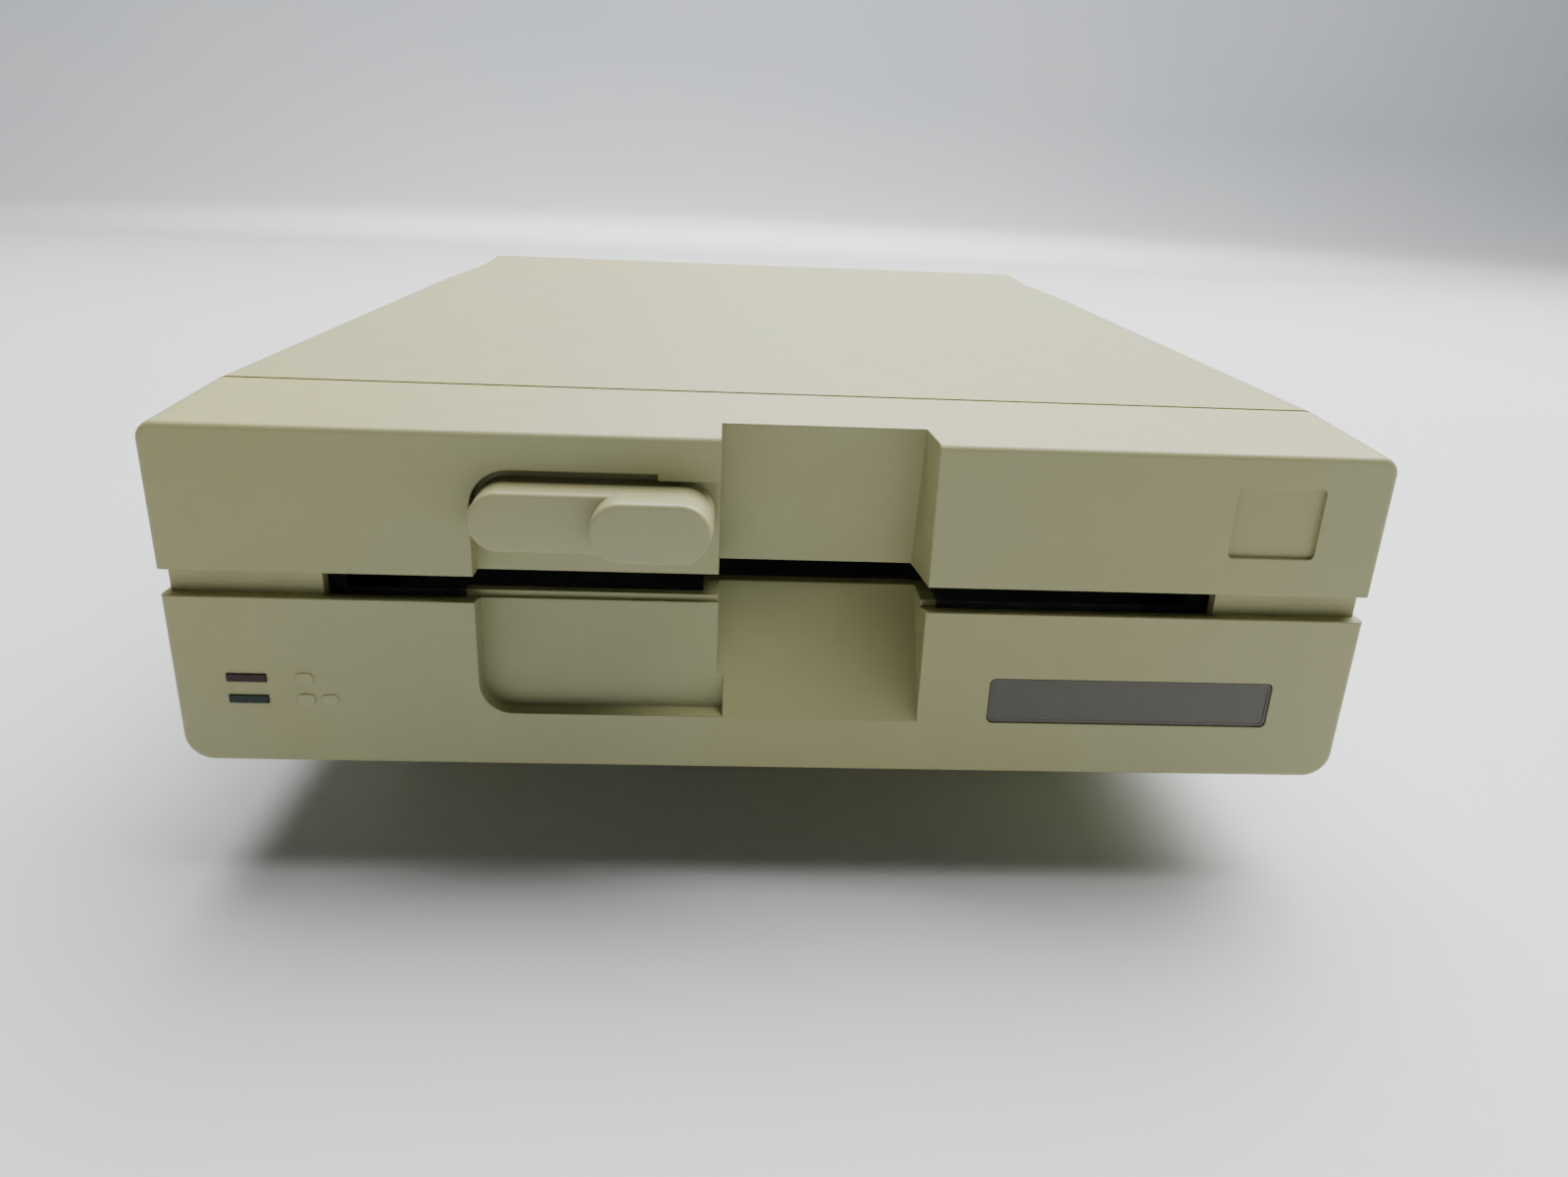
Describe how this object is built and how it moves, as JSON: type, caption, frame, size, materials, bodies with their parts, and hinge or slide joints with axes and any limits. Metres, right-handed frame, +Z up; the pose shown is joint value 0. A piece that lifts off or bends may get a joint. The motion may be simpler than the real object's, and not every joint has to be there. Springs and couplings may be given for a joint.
{
  "type": "external floppy disk drive",
  "caption": "Flat moulded desktop drive for square floppy disks, with a front slot, a quarter-turn lever, a finger notch and round sockets at the rear.",
  "frame": {"origin": "middle of the whole drive's box, on the surface that its feet rest on", "axes": "+Z up, -Y out of the front face with the slot, +X to the right as seen from the front"},
  "size_m": [0.184, 0.268, 0.076],
  "materials": {
    "case_plastic": "satin moulded, fine grain",
    "lever_plastic": "satin moulded",
    "foot_rubber": "matte",
    "plate_print": "brushed, bare",
    "red_lens": "translucent",
    "green_lens": "translucent",
    "led_body": "clear",
    "zinc_screws": "zinc plated",
    "polished_steel": "ground",
    "zinc_sheet": "zinc plated sheet",
    "cast_aluminium": "as cast",
    "turned_aluminium": "turned",
    "motor_can": "plated can",
    "magnet": "ferrite",
    "copper_coils": "enamelled wire",
    "black_plastic": "satin",
    "rocker_plastic": "gloss",
    "switch_blue": "satin",
    "slider_white": "gloss",
    "head_ceramic": "lapped ceramic",
    "circuit_board": "solder resist",
    "capacitor_can": "sleeved",
    "crystal_can": "plated"
  },
  "bodies": {
    "case": {"upper_case": "case_plastic", "lower_case": "case_plastic", "feet": "foot_rubber", "name_plate": "plate_print", "red_window": "red_lens", "green_window": "green_lens", "indicator_leds": "led_body", "case_screws": "zinc_screws", "top_plate_screws": "zinc_screws", "bracket_screws": "zinc_screws", "board_screws": "zinc_screws", "guide_rods": "polished_steel", "hinge_pins": "polished_steel", "arm_spring": "polished_steel", "spindle_bearings": "polished_steel", "top_plate": "zinc_sheet", "bracket_left": "zinc_sheet", "bracket_right": "zinc_sheet", "drive_frame": "cast_aluminium", "stepper_motor": "motor_can", "motor_coils": "copper_coils", "disk_guide_left": "black_plastic", "disk_guide_right": "black_plastic", "index_sensor": "black_plastic", "protect_sensor": "black_plastic", "track_zero_sensor": "black_plastic", "integrated_circuits": "black_plastic", "serial_socket_a": "black_plastic", "serial_socket_b": "black_plastic", "power_socket": "black_plastic", "switch_housing": "black_plastic", "board_headers": "black_plastic", "address_switch": "switch_blue", "main_board": "circuit_board", "drive_board": "circuit_board", "motor_board": "circuit_board", "led_board": "circuit_board", "capacitors": "capacitor_can", "crystal": "crystal_can"},
    "lever": {"lever_handle": "lever_plastic", "lever_shaft": "polished_steel", "clamp_cam": "black_plastic"},
    "clamp": {"clamp_arm": "zinc_sheet"},
    "cone": {"clamp_cone": "black_plastic", "cone_clip": "polished_steel"},
    "spindle": {"spindle_shaft": "polished_steel", "spindle_hub": "turned_aluminium", "rotor_plate": "zinc_sheet", "rotor_magnet": "magnet"},
    "carriage": {"head_carriage": "black_plastic", "lower_head": "head_ceramic", "steel_band": "polished_steel", "arm_pin": "polished_steel"},
    "pressure": {"pressure_arm": "black_plastic", "upper_head": "head_ceramic"},
    "pulley": {"stepper_pulley": "turned_aluminium"},
    "rocker": {"power_rocker": "rocker_plastic"},
    "slider_1": {"address_slider_1": "slider_white"},
    "slider_2": {"address_slider_2": "slider_white"}
  },
  "joints": [
    {"name": "lever_turn", "type": "hinge", "parent": "case", "child": "lever", "pos_m": [-0.0146, -0.12522, 0.0624], "axis": [0, -1, 0], "range_deg": [0, 90]},
    {"name": "clamp_tilt", "type": "hinge", "parent": "case", "child": "clamp", "pos_m": [0, 0.02578, 0.054], "axis": [1, 0, 0], "range_deg": [0, 5.4], "deforming": ["arm_spring"]},
    {"name": "cone_spin", "type": "hinge", "parent": "clamp", "child": "cone", "pos_m": [0, -0.0485, 0.05801], "axis": [0, 0.0941, 0.9956], "continuous": true},
    {"name": "spindle_spin", "type": "hinge", "parent": "case", "child": "spindle", "pos_m": [0, -0.04854, 0.044], "axis": [0, 0, 1], "continuous": true},
    {"name": "carriage_slide", "type": "slide", "parent": "case", "child": "carriage", "axis": [0, -1, 0], "range_m": [0, 0.02063]},
    {"name": "pressure_tilt", "type": "hinge", "parent": "carriage", "child": "pressure", "pos_m": [0, 0.04461, 0.0549], "axis": [1, 0, 0], "range_deg": [0, 8.5]},
    {"name": "pulley_turn", "type": "hinge", "parent": "case", "child": "pulley", "pos_m": [0.04762, 0.04078, 0.044], "axis": [0, 0, 1], "range_deg": [0, 140.45]},
    {"name": "power_press", "type": "hinge", "parent": "case", "child": "rocker", "pos_m": [0.052, 0.12928, 0.0201], "axis": [0, 0, -1], "range_deg": [0, 12]},
    {"name": "address_slide_1", "type": "slide", "parent": "case", "child": "slider_1", "axis": [0, 0, 1], "range_m": [0, 0.0016]},
    {"name": "address_slide_2", "type": "slide", "parent": "case", "child": "slider_2", "axis": [0, 0, 1], "range_m": [0, 0.0016]}
  ],
  "couplings": [
    {"joint": "clamp_tilt", "follows": "lever_turn", "ratio": 0.06},
    {"joint": "pressure_tilt", "follows": "lever_turn", "ratio": 0.094444},
    {"joint": "pulley_turn", "follows": "carriage_slide", "rad_per_m": 118.77}
  ]
}
